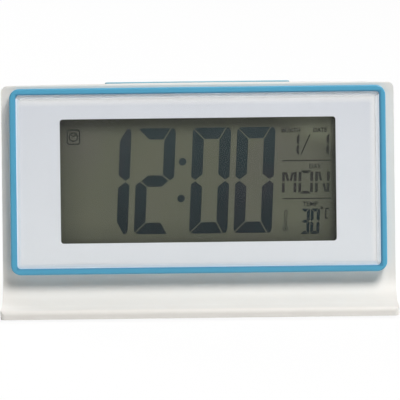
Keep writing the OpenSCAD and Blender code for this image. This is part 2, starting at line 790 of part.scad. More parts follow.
module battery_door() color("whitesmoke") rear_space() difference() {
    union() {
        translate([0, door_low + door_pivot / 2 + door_h / 2, 0])
            plate(door_w, door_h - door_pivot, door_r, 0, door_t - touch_gap);
        translate([0, door_low + door_pivot, door_pivot]) rotate([0, 90, 0])
            cylinder(r = door_pivot - touch_gap, h = door_w - 2 * door_r, center = true);
        for (side = [-1, 1]) translate([side * tab_x, 0, 0]) {
            bay_box(tab_w, door_low - tab_drop, tab_drop + door_lap, cover_t + tab_gap, tab_depth);
            bay_box(tab_w, door_low + tab_gap, door_lap - tab_gap, door_t / 2, tab_depth);
        }
        bay_box(latch_w, bay_high - cell_gap + fit, latch_t, door_t / 2, door_t + latch_d);
    }
    // Grip grooves across the door
    for (i = [0:grip_count - 1])
        bay_box(grip_w, bay_high - (i + 1) * grip_pitch, grip_pitch / 2, -overrun, grip_deep);
}

// A rear key, drawn with z forward from the clock's back
module key_shape() rotate_extrude() {
    translate([0, -key_proud + key_edge_r]) square([key_r, key_proud - key_edge_r + cover_t]);
    translate([0, -key_proud]) square([key_r - key_edge_r, key_proud]);
    intersection() {
        translate([key_r - key_edge_r, -key_proud + key_edge_r]) circle(key_edge_r);
        translate([0, -key_proud]) square([key_r, key_proud + cover_t]);
    }
    translate([0, cover_t]) square([key_flange_r, key_flange_t]);
}

module set_key() color("steelblue") at_key(0) key_shape();
module alarm_key() color("steelblue") at_key(1) key_shape();
module up_key() color("steelblue") at_key(2) key_shape();
module down_key() color("steelblue") at_key(3) key_shape();

module slide_knob() color("steelblue") rear_space() translate([slide_x, key_z, 0]) difference() {
    union() {
        plate(knob_w, slide_slot_h - 2 * running_gap, fit, -key_proud / 2, cover_t + touch_gap);
        block(knob_w + 2 * knob_flange, slide_slot_h + 2 * knob_flange,
              cover_t + touch_gap, cover_t + key_flange_t);
    }
    for (i = [-1:1]) translate([i * knob_w / 4, 0, 0])
        block(knob_w / 8, slide_slot_h, -key_proud, -key_proud / 4);
    block(lever_w + 2 * touch_gap, lever_w + 2 * touch_gap, cover_t / 2, cover_t + 2 * key_flange_t);
}

module slide_lever() color("black") rear_space() translate([slide_x, key_z, 0]) {
    block(lever_w, lever_w, cover_t, key_body_end - touch_gap);
}

module slide_switch() color("silver") rear_space() translate([slide_x + slide_travel / 2, key_z, 0])
    block(slide_body_w, slide_body_h, key_body_end, key_board_front);

module key_switches() color("dimgray") for (i = [0:3]) at_key(i) {
    block(switch_w, switch_w, key_body_end, key_board_front);
    pillar(plunger_r, key_plunger_end, key_body_end);
}

module key_board() color("seagreen") rear_space() difference() {
    translate([key_board_x0, key_z - key_board_h / 2, key_board_front])
        cube([key_board_x1 - key_board_x0, key_board_h, board_t]);
    for (x = key_post_xs) translate([x, key_z, 0])
        pillar(small_screw_r + fit, key_board_front - overrun, key_board_front + board_t + overrun);
}

module key_board_screws() color("silver") for (x = key_post_xs) rear_space() translate([x, key_z, 0]) {
    pillar(small_head_r, key_board_front + board_t, key_board_front + board_t + small_head_h);
    pillar(small_screw_r - touch_gap, key_board_front + board_t - small_screw_len,
           key_board_front + board_t + small_head_h / 2);
}

// Row of pins that joins the two boards
module board_link() color("black") {
    link_h = 2.5;
    link_w = key_pitch;
    gap = back_y - key_board_front - board_t - board_back_at(key_z + link_h / 2 - underside_z);
    rear_space() translate([slide_x, key_z, 0])
        block(link_w, link_h, key_board_front + board_t, key_board_front + board_t + gap - touch_gap);
}

// The three cells lie in turn this way and that, from the lowest up
module at_cell(i) rear_space() translate([0, bay_low + (i + 0.5) * cell_pitch, cell_depth])
    rotate([0, 0, 180 * (i % 2)]) rotate([0, 90, 0]) children();

module battery_cells() color("dimgray") for (i = [0:cells - 1]) at_cell(i) {
    pillar(nub_r, cell_start, cell_start + 2 * nub_h);
    pillar(cell_r, cell_start + nub_h, cell_start + cell_len);
}

module contact_plate(low) rotate([0, 0, 90]) block(contact_w, contact_w, low, low + contact_t);

module flat_contacts() color("silver") for (i = [0:cells - 1]) at_cell(i) contact_plate(-bay_len / 2);

// Coil of round wire that widens away from the cell
function coil_point(s) =
    let (r = coil_small_r + (coil_large_r - coil_small_r) * s, a = 360 * coil_turns * s)
    [r * cos(a), r * sin(a), coil_len * s];

function coil_ring(s) =
    let (a = 360 * coil_turns * s, out = [cos(a), sin(a), 0], p = coil_point(s))
    [for (j = [0:coil_sides - 1])
        p + coil_wire_r * (cos(360 * j / coil_sides) * out + sin(360 * j / coil_sides) * [0, 0, 1])];

module coil() {
    points = [for (i = [0:coil_rings]) each coil_ring(i / coil_rings)];
    last = coil_rings * coil_sides;
    sides = [for (i = [0:coil_rings - 1], j = [0:coil_sides - 1])
        let (k = (j + 1) % coil_sides, a = i * coil_sides, b = a + coil_sides) [a + j, b + j, b + k, a + k]];
    faces = [for (f = sides) each [[f[0], f[2], f[1]], [f[0], f[3], f[2]]]];
    ends = [for (j = [1:coil_sides - 2]) each [[0, j + 1, j], [last, last + j, last + j + 1]]];
    polyhedron(points, concat(faces, ends));
}

module spring_contacts() color("silver") for (i = [0:cells - 1]) at_cell(i) {
    contact_plate(bay_len / 2 - contact_t);
    translate([0, 0, cell_start + cell_len + touch_gap + coil_wire_r]) coil();
}

// Two insulated leads from the lowest cell's contacts to the main board
module at_leads() mirrored() translate([bay_len / 2 + bay_wall / 2, toe_y + lead_y, lead_z]) children();

module lead_elbow() rotate_extrude(angle = 90) translate([lead_bend, 0]) circle(lead_r);

module battery_leads() color("red") mirrored() translate([0, toe_y + lead_y, 0]) {
    inner = bay_len / 2 + touch_gap;
    translate([inner, 0, lead_z]) rotate([0, 90, 0])
        cylinder(r = lead_r, h = lead_out - lead_bend - inner);
    translate([lead_out - lead_bend, 0, lead_z + lead_bend]) rotate([90, 0, 0]) rotate(-90) lead_elbow();
    translate([lead_out, 0, lead_z + lead_bend]) cylinder(r = lead_r, h = lead_high - lead_z - 2 * lead_bend);
    translate([lead_out, -lead_bend, lead_high - lead_bend]) rotate([90, 0, 90]) lead_elbow();
    translate([lead_out, -lead_bend, lead_high]) rotate([90, 0, 0])
        cylinder(r = lead_r, h = lead_y - lead_bend - lead_end);
}

front_housing();
rear_cover();
bezel_frame();
display_lens();
lens_print();
snooze_bar();
battery_door();
set_key();
alarm_key();
up_key();
down_key();
slide_knob();
rubber_feet();
cover_screws();
front_polariser();
front_glass();
rear_glass();
rear_polariser();
light_guide();
backlight_leds();
display_carrier();
contact_strip();
main_board();
clock_chip();
quartz_crystal();
piezo_buzzer();
temperature_sensor();
snooze_switch();
carrier_screws();
key_board();
key_switches();
slide_switch();
slide_lever();
board_link();
key_board_screws();
spring_contacts();
flat_contacts();
battery_cells();
battery_leads();
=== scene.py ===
from math import cos, pi, radians, sin, tan

import bmesh
import bpy
from mathutils import Matrix, Vector


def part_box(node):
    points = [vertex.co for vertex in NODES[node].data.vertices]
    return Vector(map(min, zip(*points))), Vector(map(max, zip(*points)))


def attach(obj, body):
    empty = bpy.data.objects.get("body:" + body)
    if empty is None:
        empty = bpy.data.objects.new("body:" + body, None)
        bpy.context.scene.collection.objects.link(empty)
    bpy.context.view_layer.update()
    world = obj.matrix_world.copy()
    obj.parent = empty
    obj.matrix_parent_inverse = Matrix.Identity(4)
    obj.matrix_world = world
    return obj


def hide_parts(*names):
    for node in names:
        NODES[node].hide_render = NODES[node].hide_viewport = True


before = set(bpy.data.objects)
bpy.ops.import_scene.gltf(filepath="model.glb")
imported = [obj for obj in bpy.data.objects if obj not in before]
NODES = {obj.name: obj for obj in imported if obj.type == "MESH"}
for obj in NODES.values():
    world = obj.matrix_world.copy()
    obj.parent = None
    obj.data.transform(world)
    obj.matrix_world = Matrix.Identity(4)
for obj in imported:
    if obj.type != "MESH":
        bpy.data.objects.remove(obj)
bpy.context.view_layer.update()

MM = 0.001

# The clock's face leans back: places on it are given in millimetres, right and up from the
# middle of the blue frame, and out from the housing's front
TILT = radians(10)
FOOT_REACH = 16.25 * MM
FRAME_MID = 47.725 * MM
HOUSING_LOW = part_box("front_housing")[0]
FACE_FOOT = Vector((0, HOUSING_LOW.y + FOOT_REACH, HOUSING_LOW.z))
FACE_RIGHT = Vector((1, 0, 0))
FACE_UP = Vector((0, sin(TILT), cos(TILT)))
FACE_OUT = Vector((0, -cos(TILT), sin(TILT)))
BACK_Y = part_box("rear_cover")[1].y

# The opening of the blue frame, and the lens that fills it
OPENING_W, OPENING_H = 134.7, 64.35
LENS_W, LENS_H, LENS_R = 134.66, 64.31, 1.35
LENS_FRONT, LENS_BACK = 3.9, 2.84
BEVEL_W, BEVEL_D = 1.4, 0.35

# The white print. Seen through the lens, it seems to lie closer behind its face
PRINT_FRONT, PRINT_BACK = 3.48, 3.2
WINDOW_W, WINDOW_H, WINDOW_R = 102.2, 46.05, 1.1


def panel(x, v, n=0.0):
    """A place on the face, x to the right, v up and n out."""
    return FACE_RIGHT * (x * MM) + FACE_FOOT + FACE_UP * (FRAME_MID + v * MM) + FACE_OUT * (n * MM)


# Camera, as in the photograph: square to the face, from a little under a metre
CAMERA_DISTANCE = 0.9680
CAMERA_FOCAL = 234.27
CAMERA_ROLL = radians(-0.69)
AIM_X, AIM_V = 0.57, -7.4


def make_camera():
    data = bpy.data.cameras.new("camera")
    data.sensor_width = 36
    data.lens = CAMERA_FOCAL
    data.clip_start, data.clip_end = 0.05, 20
    camera = bpy.data.objects.new("camera", data)
    bpy.context.scene.collection.objects.link(camera)
    turn = Matrix((FACE_RIGHT, FACE_UP, FACE_OUT)).transposed().to_4x4()
    camera.matrix_world = (Matrix.Translation(panel(AIM_X, AIM_V) + FACE_OUT * CAMERA_DISTANCE) @ turn
                           @ Matrix.Rotation(CAMERA_ROLL, 4, "Z"))
    bpy.context.scene.camera = camera


# Helpers for materials: most of them add nodes to a tree and return the value that those give

def nodes_of(name):
    """A new material with its tree and its surface."""
    mat = bpy.data.materials.new(name)
    mat.use_nodes = True
    tree = mat.node_tree
    return mat, tree, tree.nodes["Principled BSDF"]


def place(tree, stretch=(1, 1, 1)):
    """Coordinates on the object itself, in metres, stretched if asked."""
    coord = tree.nodes.new("ShaderNodeTexCoord")
    mapping = tree.nodes.new("ShaderNodeMapping")
    mapping.inputs["Scale"].default_value = stretch
    tree.links.new(coord.outputs["Object"], mapping.inputs["Vector"])
    return mapping.outputs["Vector"]


def noise(tree, where, scale, detail=3.0):
    n = tree.nodes.new("ShaderNodeTexNoise")
    n.inputs["Scale"].default_value = scale
    n.inputs["Detail"].default_value = detail
    n.inputs["Roughness"].default_value = 0.55
    tree.links.new(where, n.inputs["Vector"])
    return n.outputs["Fac"]


def ramp(tree, value, stops):
    r = tree.nodes.new("ShaderNodeValToRGB")
    while len(r.color_ramp.elements) < len(stops):
        r.color_ramp.elements.new(0.5)
    for e, (at, colour) in zip(r.color_ramp.elements, stops):
        e.position = at
        e.color = (*colour, 1)
    tree.links.new(value, r.inputs["Fac"])
    return r.outputs["Color"]


def spread(tree, value, low, high, from_low=0.3, from_high=0.7):
    """The value, moved from one range to another and held within it."""
    m = tree.nodes.new("ShaderNodeMapRange")
    m.inputs["From Min"].default_value = from_low
    m.inputs["From Max"].default_value = from_high
    m.inputs["To Min"].default_value = low
    m.inputs["To Max"].default_value = high
    tree.links.new(value, m.inputs["Value"])
    return m.outputs["Result"]


def blend(tree, fac, a, b, kind="MIX"):
    m = tree.nodes.new("ShaderNodeMix")
    m.data_type = "RGBA"
    m.blend_type = kind
    if isinstance(fac, float):
        m.inputs["Factor"].default_value = fac
    else:
        tree.links.new(fac, m.inputs["Factor"])
    # The colour sockets are the third pair of the node
    for key, c in ((6, a), (7, b)):
        if isinstance(c, tuple):
            m.inputs[key].default_value = (*c, 1)
        else:
            tree.links.new(c, m.inputs[key])
    return m.outputs[2]


def work_out(tree, kind, *values, clamp=False):
    """The result of one operation on numbers or on other nodes' values."""
    m = tree.nodes.new("ShaderNodeMath")
    m.operation = kind
    m.use_clamp = clamp
    for value, socket in zip(values, m.inputs):
        if isinstance(value, (int, float)):
            socket.default_value = value
        else:
            tree.links.new(value, socket)
    return m.outputs["Value"]


def along(tree, way, start):
    """Distance in metres from a place, measured along a direction in the row frame."""
    coord = tree.nodes.new("ShaderNodeTexCoord")
    dot = tree.nodes.new("ShaderNodeVectorMath")
    dot.operation = "DOT_PRODUCT"
    dot.inputs[1].default_value = way
    tree.links.new(coord.outputs["Object"], dot.inputs[0])
    return work_out(tree, "SUBTRACT", dot.outputs["Value"], start.dot(way))


def past_edge(tree, w, h, middle=0.0):
    """Distance in metres past the nearest edge of a rectangle on the face, negative inside it."""
    sideways = work_out(tree, "ABSOLUTE", along(tree, FACE_RIGHT, panel(middle, 0)))
    upwards = work_out(tree, "ABSOLUTE", along(tree, FACE_UP, panel(0, 0)))
    return work_out(tree, "MAXIMUM", work_out(tree, "SUBTRACT", sideways, w / 2 * MM),
                    work_out(tree, "SUBTRACT", upwards, h / 2 * MM))


def seen(tree):
    """1 for rays from the camera, also by way of gloss or clear plastic, and 0 for the others."""
    rays = tree.nodes.new("ShaderNodeLightPath").outputs
    straight = work_out(tree, "ADD", rays["Is Camera Ray"], rays["Is Glossy Ray"], clamp=True)
    return work_out(tree, "ADD", straight, rays["Is Transmission Ray"], clamp=True)


def bump(tree, bsdf, height, depth, strength=1.0):
    b = tree.nodes.new("ShaderNodeBump")
    b.inputs["Distance"].default_value = depth
    b.inputs["Strength"].default_value = strength
    tree.links.new(height, b.inputs["Height"])
    tree.links.new(b.outputs["Normal"], bsdf.inputs["Normal"])


def near(colour, share):
    """The colour made lighter or darker by a share."""
    return tuple(min(1.0, c * share) for c in colour)


# Materials

WHITE = (0.820, 0.796, 0.758)
BLUE = (0.080, 0.372, 0.575)
PRINT = (0.765, 0.798, 0.840)
BLUE_FINISH = (0.36, 1600.0, 0.008 * MM, 0.04)


def moulded(name, colour, rough, grain, depth, vary, coat=0.0):
    """Moulded plastic: a fine spark-eroded grain, slow flow variation of its colour and uneven polish."""
    mat, tree, bsdf = nodes_of(name)
    where = place(tree)
    slow = noise(tree, where, 22.0, 2.0)
    fine = noise(tree, where, grain, 2.0)
    cloud = noise(tree, where, 260.0, 4.0)
    tree.links.new(ramp(tree, slow, ((0.3, near(colour, 1 - vary)), (0.7, near(colour, 1 + vary / 2)))),
                   bsdf.inputs["Base Color"])
    tree.links.new(spread(tree, cloud, rough - 0.05, rough + 0.07), bsdf.inputs["Roughness"])
    bump(tree, bsdf, fine, depth)
    if coat:
        bsdf.inputs["Coat Weight"].default_value = coat
        bsdf.inputs["Coat Roughness"].default_value = 0.2
    return mat


# Painted shade on the frame's inner edge: how far past the opening's edge it stays full, and where it is
# gone, in millimetres
PAINTED_SHADE_END, PAINTED_SHADE_GONE = 0.25, 0.65
# The painted shade is narrower on the left, where the light falls in
PAINTED_SHADE_MIDDLE = 0.3


def frame_material():
    """The frame's blue, darkened by painted shade along the roll of its inner edge."""
    mat = moulded("blue_frame_plastic", BLUE, *BLUE_FINISH)
    tree = mat.node_tree
    bsdf = tree.nodes["Principled BSDF"]
    plain = bsdf.inputs["Base Color"].links[0].from_socket
    past = past_edge(tree, OPENING_W, OPENING_H, PAINTED_SHADE_MIDDLE)
    lit = spread(tree, past, 0.0, 1.0, PAINTED_SHADE_END * MM, PAINTED_SHADE_GONE * MM)
    # Painted shade: the blue darkened next to the opening
    painted_frame_shade = blend(tree, 1.0, plain, (0.62, 0.66, 0.72), "MULTIPLY")
    tree.links.new(blend(tree, lit, painted_frame_shade, plain), bsdf.inputs["Base Color"])
    return mat


def metal(name, colour, rough, lines=(1, 1, 1)):
    """Bare metal, slightly stained, whose fine marks can be stretched into lines."""
    mat, tree, bsdf = nodes_of(name)
    where = place(tree, lines)
    fine = noise(tree, where, 900.0, 4.0)
    slow = noise(tree, place(tree), 300.0)
    tree.links.new(ramp(tree, slow, ((0.3, near(colour, 0.85)), (0.7, near(colour, 1.05)))),
                   bsdf.inputs["Base Color"])
    bsdf.inputs["Metallic"].default_value = 1.0
    tree.links.new(spread(tree, fine, rough - 0.08, rough + 0.12), bsdf.inputs["Roughness"])
    bump(tree, bsdf, fine, 0.004 * MM)
    return mat


# Painted light from the bevel on the print's upper and right borders: full up to the first
# distance from the lens's edge, in millimetres, and gone at the second
PAINTED_LIGHT_ABOVE = (2.0, 4.4)
PAINTED_LIGHT_RIGHT = (1.7, 3.8)


def print_material():
    """White ink behind the lens, with a faint sieve pattern: painted shade makes it a little darker at the
    top, and painted light brightens its upper and right borders.
    """
    mat, tree, bsdf = nodes_of("white_print")
    where = place(tree)
    slow = noise(tree, where, 14.0, 2.0)
    base = ramp(tree, slow, ((0.3, near(PRINT, 0.985)), (0.7, near(PRINT, 1.01))))
    from_top = along(tree, -FACE_UP, panel(0, LENS_H / 2))
    from_right = along(tree, -FACE_RIGHT, panel(LENS_W / 2, 0))
    # Painted shade: darker at the top, a little lighter towards the bottom
    fall = spread(tree, from_top, 0.0, 1.0, 0.0, LENS_H * MM)
    base = blend(tree, 1.0, base, blend(tree, fall, (0.93, 0.93, 0.95), (1.05, 1.05, 1.04)), "MULTIPLY")
    # Painted light along the upper and right borders
    for inwards, (full, gone) in ((from_top, PAINTED_LIGHT_ABOVE), (from_right, PAINTED_LIGHT_RIGHT)):
        lit = spread(tree, inwards, 1.0, 0.0, full * MM, gone * MM)
        base = blend(tree, lit, base, (0.90, 0.91, 0.92))
    tree.links.new(base, bsdf.inputs["Base Color"])
    sieve = noise(tree, where, 4200.0, 1.0)
    tree.links.new(spread(tree, sieve, 0.55, 0.65), bsdf.inputs["Roughness"])
    bump(tree, bsdf, sieve, 0.003 * MM)
    return mat


# Painted glow at the lens's rim, in place of light that the lens carries there: full up to the first distance
# inside its edge, in millimetres, and gone at the second
PAINTED_GLOW_FULL, PAINTED_GLOW_GONE = 0.1, 0.5


def lens_material(name, alpha, colour, rough, glow=0.0):
    """Clear plastic or glass, laid over what is behind it as a thin veil with a soft gloss, and with a
    painted glow at its rim when glow is given.
    """
    mat, tree, bsdf = nodes_of(name)
    where = place(tree)
    wipe = noise(tree, place(tree, (1, 0.3, 0.3)), 90.0)
    tree.links.new(ramp(tree, noise(tree, where, 30.0, 1.0), ((0.3, near(colour, 0.98)), (0.7, colour))),
                   bsdf.inputs["Base Color"])
    tree.links.new(spread(tree, wipe, rough, rough + 0.06), bsdf.inputs["Roughness"])
    # Painted light: an emission along the rim, though the lens is no lamp
    if glow:
        bsdf.inputs["Emission Color"].default_value = (*colour, 1)
        lit = spread(tree, past_edge(tree, LENS_W, LENS_H), 0.0, glow, -PAINTED_GLOW_GONE * MM, -PAINTED_GLOW_FULL * MM)
        tree.links.new(lit, bsdf.inputs["Emission Strength"])
    bsdf.inputs["Alpha"].default_value = alpha
    bsdf.inputs["IOR"].default_value = 1.49
    mat.surface_render_method = "BLENDED"
    return mat


# Painted shade for what the window's edges cast on the display: the direction away from the edge, right and
# up, the distances in millimetres at which it starts and stops to fade, and the light left in full shade
SHADES = (((0, -1), 1.9, 6.5, 0.56), ((0, 1), 0.0, 8.0, 0.72), ((1, 0), 0.0, 10.0, 0.66),
          ((-1, 0), 0.0, 9.0, 0.62), ((-1, 0), 1.4, 1.9, 0.84))
# The key light comes from the upper right, so the painted shade is thinner in that corner
CORNER_WAY = FACE_RIGHT * -0.45 + FACE_UP * -0.89
CORNER_LIFT, CORNER_START, CORNER_STOP = 2.1, 3.0, 12.0


def painted_edge_shade(tree):
    """Painted shade: the share of the light that reaches the display, lower near the edges of the window."""
    shade = spread(tree, along(tree, CORNER_WAY, panel(WINDOW_W / 2, WINDOW_H / 2)),
                   CORNER_LIFT, 1.0, CORNER_START * MM, CORNER_STOP * MM)
    for (right, up), start, stop, least in SHADES:
        edge = panel(-right * WINDOW_W / 2, -up * WINDOW_H / 2)
        distance = along(tree, FACE_RIGHT * right + FACE_UP * up, edge)
        shade = work_out(tree, "MULTIPLY", shade, spread(tree, distance, least, 1.0, start * MM, stop * MM))
    return shade


SPECK_SCALE = 5200.0


def ground_material():
    """The display's olive-grey ground: a matt polariser over a speckled reflector, with painted shade near
    the window's edges and faintly violet patches of painted reflection.
    """
    mat, tree, bsdf = nodes_of("display_ground")
    where = place(tree)
    slow = noise(tree, where, 38.0, 2.0)
    wide = noise(tree, where, 21.0, 1.0)
    speck = noise(tree, where, SPECK_SCALE, 1.0)
    base = ramp(tree, slow, ((0.25, (0.103, 0.110, 0.078)), (0.5, (0.113, 0.120, 0.082)),
                             (0.75, (0.126, 0.130, 0.089))))
    # Painted reflection: some stretches of the film turn to a greyer, faintly violet tone
    base = blend(tree, spread(tree, wide, 0.0, 0.75, 0.52, 0.68), base, (0.108, 0.100, 0.094))
    base = blend(tree, spread(tree, speck, 0.0, 0.5), base, (0.094, 0.100, 0.070))
    # Painted shade near the window's edges
    shade = painted_edge_shade(tree)
    grey = tree.nodes.new("ShaderNodeCombineColor")
    for key in ("Red", "Green", "Blue"):
        tree.links.new(shade, grey.inputs[key])
    tree.links.new(blend(tree, 1.0, base, grey.outputs["Color"], "MULTIPLY"), bsdf.inputs["Base Color"])
    tree.links.new(spread(tree, speck, 0.36, 0.46), bsdf.inputs["Roughness"])
    bsdf.inputs["Specular IOR Level"].default_value = 0.08
    bump(tree, bsdf, speck, 0.002 * MM)
    return mat


def crystal_material(name, low, high):
    """Darkened liquid crystal, not quite even, a little lighter towards the top of the display, and with
    faintly violet patches of painted reflection.
    """
    mat, tree, bsdf = nodes_of(name)
    where = place(tree)
    slow = noise(tree, where, 120.0, 2.0)
    wide = noise(tree, where, 26.0, 1.0)
    speck = noise(tree, where, SPECK_SCALE, 1.0)
    rise = spread(tree, along(tree, FACE_UP, panel(0, -WINDOW_H / 2)), 0.0, 1.0, 0.0, WINDOW_H * MM)
    base = blend(tree, rise, low, high)
    # Painted reflection: faintly violet patches laid over the segments
    base = blend(tree, spread(tree, wide, 0.0, 0.55, 0.54, 0.70), base, (0.036, 0.022, 0.030))
    uneven = ramp(tree, slow, ((0.3, (0.86, 0.86, 0.86)), (0.7, (1.0, 1.0, 1.0))))
    tree.links.new(blend(tree, 1.0, base, uneven, "MULTIPLY"), bsdf.inputs["Base Color"])
    tree.links.new(spread(tree, speck, 0.36, 0.46), bsdf.inputs["Roughness"])
    bsdf.inputs["Specular IOR Level"].default_value = 0.06
    return mat


def board_material():
    """Solder mask over copper tracks, with lighter lines where the tracks run."""
    mat, tree, bsdf = nodes_of("board_green")
    tracks = tree.nodes.new("ShaderNodeTexBrick")
    tracks.inputs["Scale"].default_value = 160.0
    tracks.inputs["Mortar Size"].default_value = 0.035
    tracks.inputs["Color1"].default_value = (0.012, 0.105, 0.045, 1)
    tracks.inputs["Color2"].default_value = (0.016, 0.125, 0.05, 1)
    tracks.inputs["Mortar"].default_value = (0.05, 0.24, 0.09, 1)
    tree.links.new(place(tree, (1, 0.2, 1)), tracks.inputs["Vector"])
    tree.links.new(tracks.outputs["Color"], bsdf.inputs["Base Color"])
    bsdf.inputs["Roughness"].default_value = 0.3
    bump(tree, bsdf, tracks.outputs["Fac"], 0.03 * MM, 0.6)
    return mat


def rubber_material(name, colour, rough):
    """Matt rubber with a mottled skin."""
    mat, tree, bsdf = nodes_of(name)
    fine = noise(tree, place(tree), 1500.0, 5.0)
    tree.links.new(ramp(tree, fine, ((0.3, near(colour, 0.8)), (0.7, near(colour, 1.2)))),
                   bsdf.inputs["Base Color"])
    tree.links.new(spread(tree, fine, rough - 0.08, rough + 0.08), bsdf.inputs["Roughness"])
    bump(tree, bsdf, fine, 0.03 * MM)
    return mat


def lead_material():
    """Black insulation on the left lead and red on the right one, a little worn."""
    mat, tree, bsdf = nodes_of("lead_red_and_black")
    coord = tree.nodes.new("ShaderNodeTexCoord").outputs["Object"]
    split = tree.nodes.new("ShaderNodeSeparateXYZ")
    tree.links.new(coord, split.inputs["Vector"])
    on_right = work_out(tree, "GREATER_THAN", split.outputs["X"], 0.0)
    two = blend(tree, on_right, (0.012, 0.012, 0.013), (0.42, 0.015, 0.012))
    worn = noise(tree, coord, 700.0)
    tree.links.new(blend(tree, spread(tree, worn, 0.0, 0.12), two, (0.3, 0.3, 0.3)),
                   bsdf.inputs["Base Color"])
    tree.links.new(spread(tree, worn, 0.34, 0.48), bsdf.inputs["Roughness"])
    bump(tree, bsdf, worn, 0.005 * MM)
    return mat


M = {
    "white": moulded("white_plastic", WHITE, 0.42, 1500.0, 0.010 * MM, 0.02),
    "white_rear": moulded("white_plastic_textured", WHITE, 0.5, 900.0, 0.03 * MM, 0.02),
    "blue": moulded("blue_plastic", BLUE, *BLUE_FINISH),
    "blue_bar": moulded("blue_bar_plastic", (0.22, 0.47, 0.58), 0.45, 1600.0, 0.008 * MM, 0.04, coat=0.1),
    "blue_frame": frame_material(),
    "inner_white": moulded("carrier_white", (0.74, 0.74, 0.72), 0.5, 1200.0, 0.02 * MM, 0.03),
    "print": print_material(),
    "lens": lens_material("lens_clear", 0.012, (0.92, 0.95, 1.0), 0.06),
    "lens_edge": lens_material("lens_edge", 0.28, (0.84, 0.93, 1.0), 0.12),
    # Painted light: paler, glowing veils on the lens's right bevel and on its left and lower ones
    "lens_right_edge_painted_light": lens_material("lens_right_edge_painted_light", 0.65, (0.93, 0.96, 1.0), 0.12, 0.5),
    "lens_lower_left_edge_painted_light": lens_material("lens_lower_left_edge_painted_light", 0.96, (0.90, 0.95, 1.0), 0.12, 0.26),
    "ground": ground_material(),
    "segment": crystal_material("segment_dark", (0.004, 0.011, 0.013), (0.024, 0.040, 0.042)),
    "segment_small": crystal_material("segment_small", (0.019, 0.023, 0.019), (0.029, 0.032, 0.026)),
    "film": lens_material("rear_film", 0.85, (0.2, 0.21, 0.18), 0.3),
    "glass": lens_material("display_glass", 0.18, (0.75, 0.86, 0.82), 0.03),
    "guide": moulded("guide_white", (0.78, 0.79, 0.76), 0.3, 2600.0, 0.01 * MM, 0.02),
    "led": moulded("led_yellow", (0.82, 0.72, 0.22), 0.25, 2600.0, 0.004 * MM, 0.1),
    "strip": rubber_material("strip_rubber", (0.55, 0.28, 0.34), 0.6),
    "board": board_material(),
    "resin": moulded("resin_black", (0.014, 0.014, 0.015), 0.25, 400.0, 0.02 * MM, 0.2),
    "switch": moulded("switch_grey", (0.10, 0.10, 0.11), 0.45, 1400.0, 0.01 * MM, 0.08),
    "can": metal("can_metal", (0.62, 0.62, 0.64), 0.25),
    "sensor": moulded("sensor_amber", (0.42, 0.20, 0.03), 0.3, 1200.0, 0.008 * MM, 0.15),
    "nickel": metal("contact_nickel", (0.66, 0.64, 0.60), 0.24, (1, 4, 1)),
    "steel": metal("screw_steel", (0.56, 0.57, 0.59), 0.28),
    "recess": metal("screw_recess", (0.22, 0.22, 0.23), 0.5),
    "pad": rubber_material("pad_rubber", (0.42, 0.42, 0.41), 0.78),
    "lead": lead_material(),
    "sleeve": moulded("cell_sleeve", (0.055, 0.075, 0.12), 0.28, 900.0, 0.004 * MM, 0.08),
    "band": metal("cell_band", (0.72, 0.46, 0.22), 0.3),
    "cell_end": metal("cell_end", (0.70, 0.70, 0.71), 0.25),
}

# The nodes of the model that each material dresses
DRESS = {
    "white": ["front_housing"],
    "white_rear": ["rear_cover", "battery_door"],
    "blue": ["set_key", "alarm_key", "up_key", "down_key", "slide_knob"],
    "blue_bar": ["snooze_bar"],
    "blue_frame": ["bezel_frame"],
    "inner_white": ["display_carrier"],
    "print": ["lens_print"],
    "lens": ["display_lens"],
    "ground": ["front_polariser"],
    "film": ["rear_polariser"],
    "glass": ["front_glass", "rear_glass"],
    "guide": ["light_guide"],
    "led": ["backlight_leds"],
    "strip": ["contact_strip"],
    "board": ["main_board", "key_board"],
    "resin": ["clock_chip", "board_link", "piezo_buzzer"],
    "switch": ["slide_lever", "snooze_switch", "key_switches"],
    "can": ["quartz_crystal", "slide_switch"],
    "sensor": ["temperature_sensor"],
    "nickel": ["spring_contacts", "flat_contacts"],
    "steel": ["cover_screws", "carrier_screws", "key_board_screws"],
    "pad": ["rubber_feet"],
    "lead": ["battery_leads"],
    "sleeve": ["battery_cells"],
}
for material, names in DRESS.items():
    for name in names:
        mesh = NODES[name].data
        mesh.materials.clear()
        mesh.materials.append(M[material])


# Helpers for meshes

def piece(name, bm, materials, body="clock", smooth=True, angle=30):
    """An object from a finished bmesh, dressed, and carried by a body of the model."""
    mesh = bpy.data.meshes.new(name)
    bmesh.ops.recalc_face_normals(bm, faces=bm.faces)
    bm.to_mesh(mesh)
    bm.free()
    obj = bpy.data.objects.new(name, mesh)
    bpy.context.scene.collection.objects.link(obj)
    for m in materials:
        mesh.materials.append(M[m])
    if smooth:
        mesh.shade_smooth()
        mesh.set_sharp_from_angle(angle=radians(angle))
    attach(obj, body)
    return obj


def arc(r, x0, v0, first, sweep, steps):
    """Points on an arc round a middle, with both of its ends."""
    angles = [first + sweep * i / steps for i in range(steps + 1)]
    return [(x0 + r * cos(a), v0 + r * sin(a)) for a in angles]


def disc(r, x0=0.0, v0=0.0, steps=24):
    """Points round a circle."""
    return arc(r, x0, v0, 0, 2 * pi, steps)[:-1]


def round_outline(w, h, r, steps=8):
    """Points round a rectangle with round corners, anticlockwise from the right of the top right corner."""
    points = []
    for k, (right, up) in enumerate(((1, 1), (-1, 1), (-1, -1), (1, -1))):
        points += arc(r, right * (w / 2 - r), up * (h / 2 - r), k * pi / 2, pi / 2, steps)
    return points


def bar(x0, v0, x1, v1, t):
    """A straight stroke between two places."""
    d = Vector((x1 - x0, v1 - v0))
    s = Vector((-d.y, d.x)).normalized() * t / 2
    return [(x0 + s.x, v0 + s.y), (x0 - s.x, v0 - s.y), (x1 - s.x, v1 - s.y), (x1 + s.x, v1 + s.y)]


